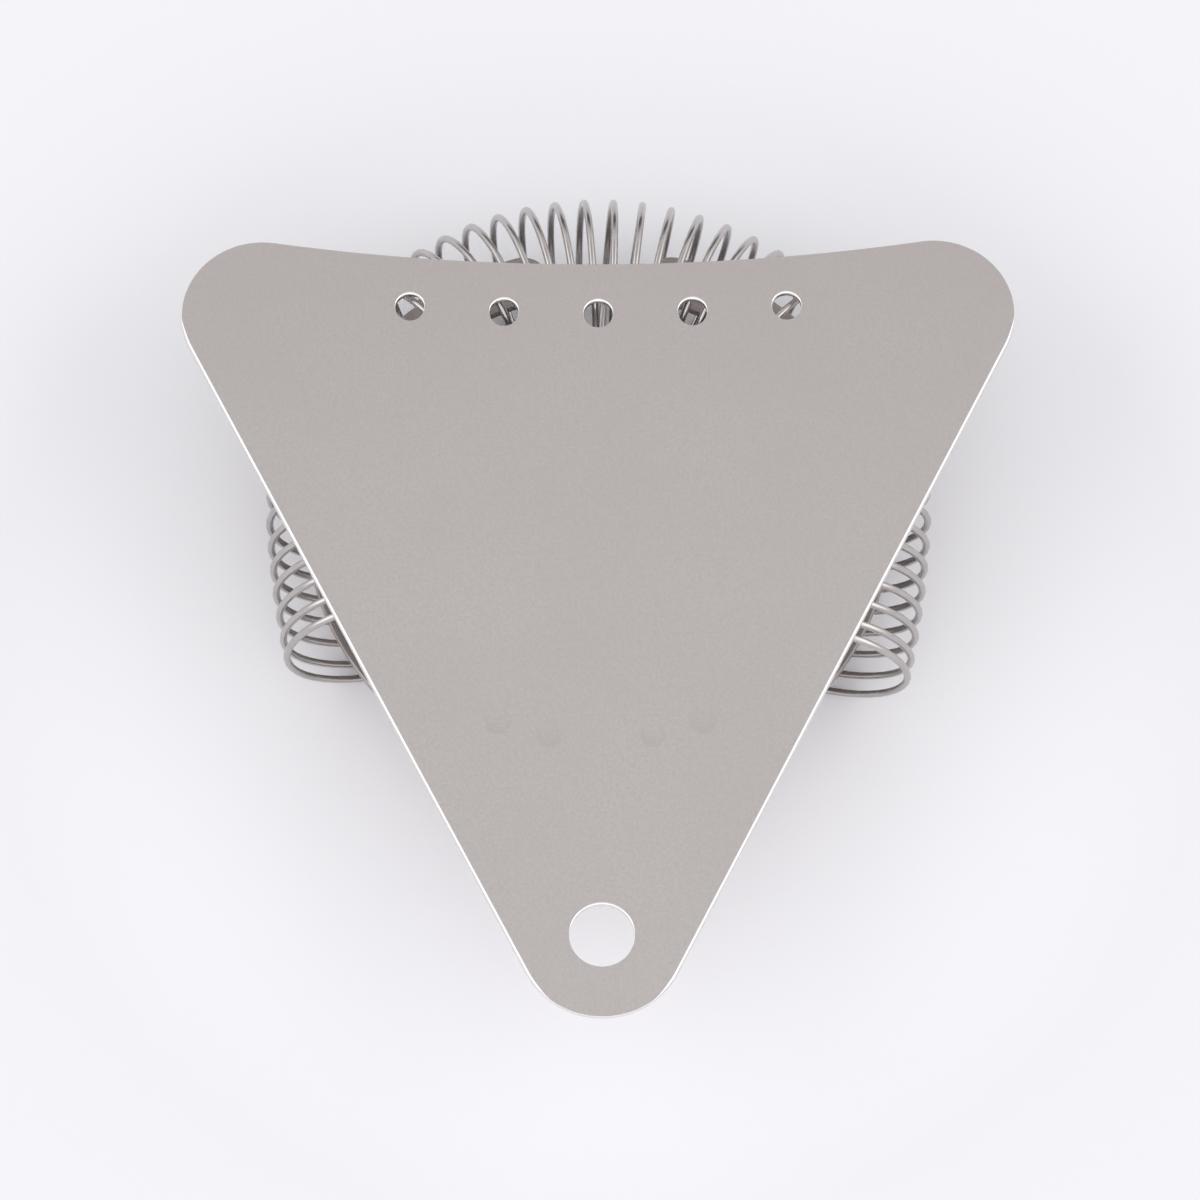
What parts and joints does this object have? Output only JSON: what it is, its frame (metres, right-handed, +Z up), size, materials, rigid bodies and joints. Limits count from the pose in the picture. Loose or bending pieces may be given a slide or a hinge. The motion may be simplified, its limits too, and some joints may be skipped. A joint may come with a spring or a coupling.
{
  "type": "hawthorne strainer",
  "caption": "Flat triangular strainer plate with a hanging hole, a row of drain holes and a coil spring threaded on two arms welded underneath.",
  "frame": {"origin": "middle of the strainer's box, on the surface that the spring stands on", "axes": "+X to the right when the handle end points at the user, +Y from the handle end towards the spring, +Z up"},
  "size_m": [0.115, 0.1244, 0.0261],
  "materials": {
    "plate_steel": "satin, with bright polished edges",
    "arm_steel": "plain rolled strip",
    "weld_steel": "fused spot",
    "spring_wire": "bright drawn wire"
  },
  "bodies": {
    "plate": {"strainer_plate": "plate_steel", "carrier_arm_left": "arm_steel", "carrier_arm_right": "arm_steel", "spot_welds": "weld_steel"},
    "spring": {"coil_spring": "spring_wire"}
  },
  "joints": [
    {"name": "spring_slide", "type": "slide", "parent": "plate", "child": "spring", "axis": [0, -1, 0], "range_m": [0, 0.004], "stiffness_N_per_m": 600}
  ]
}
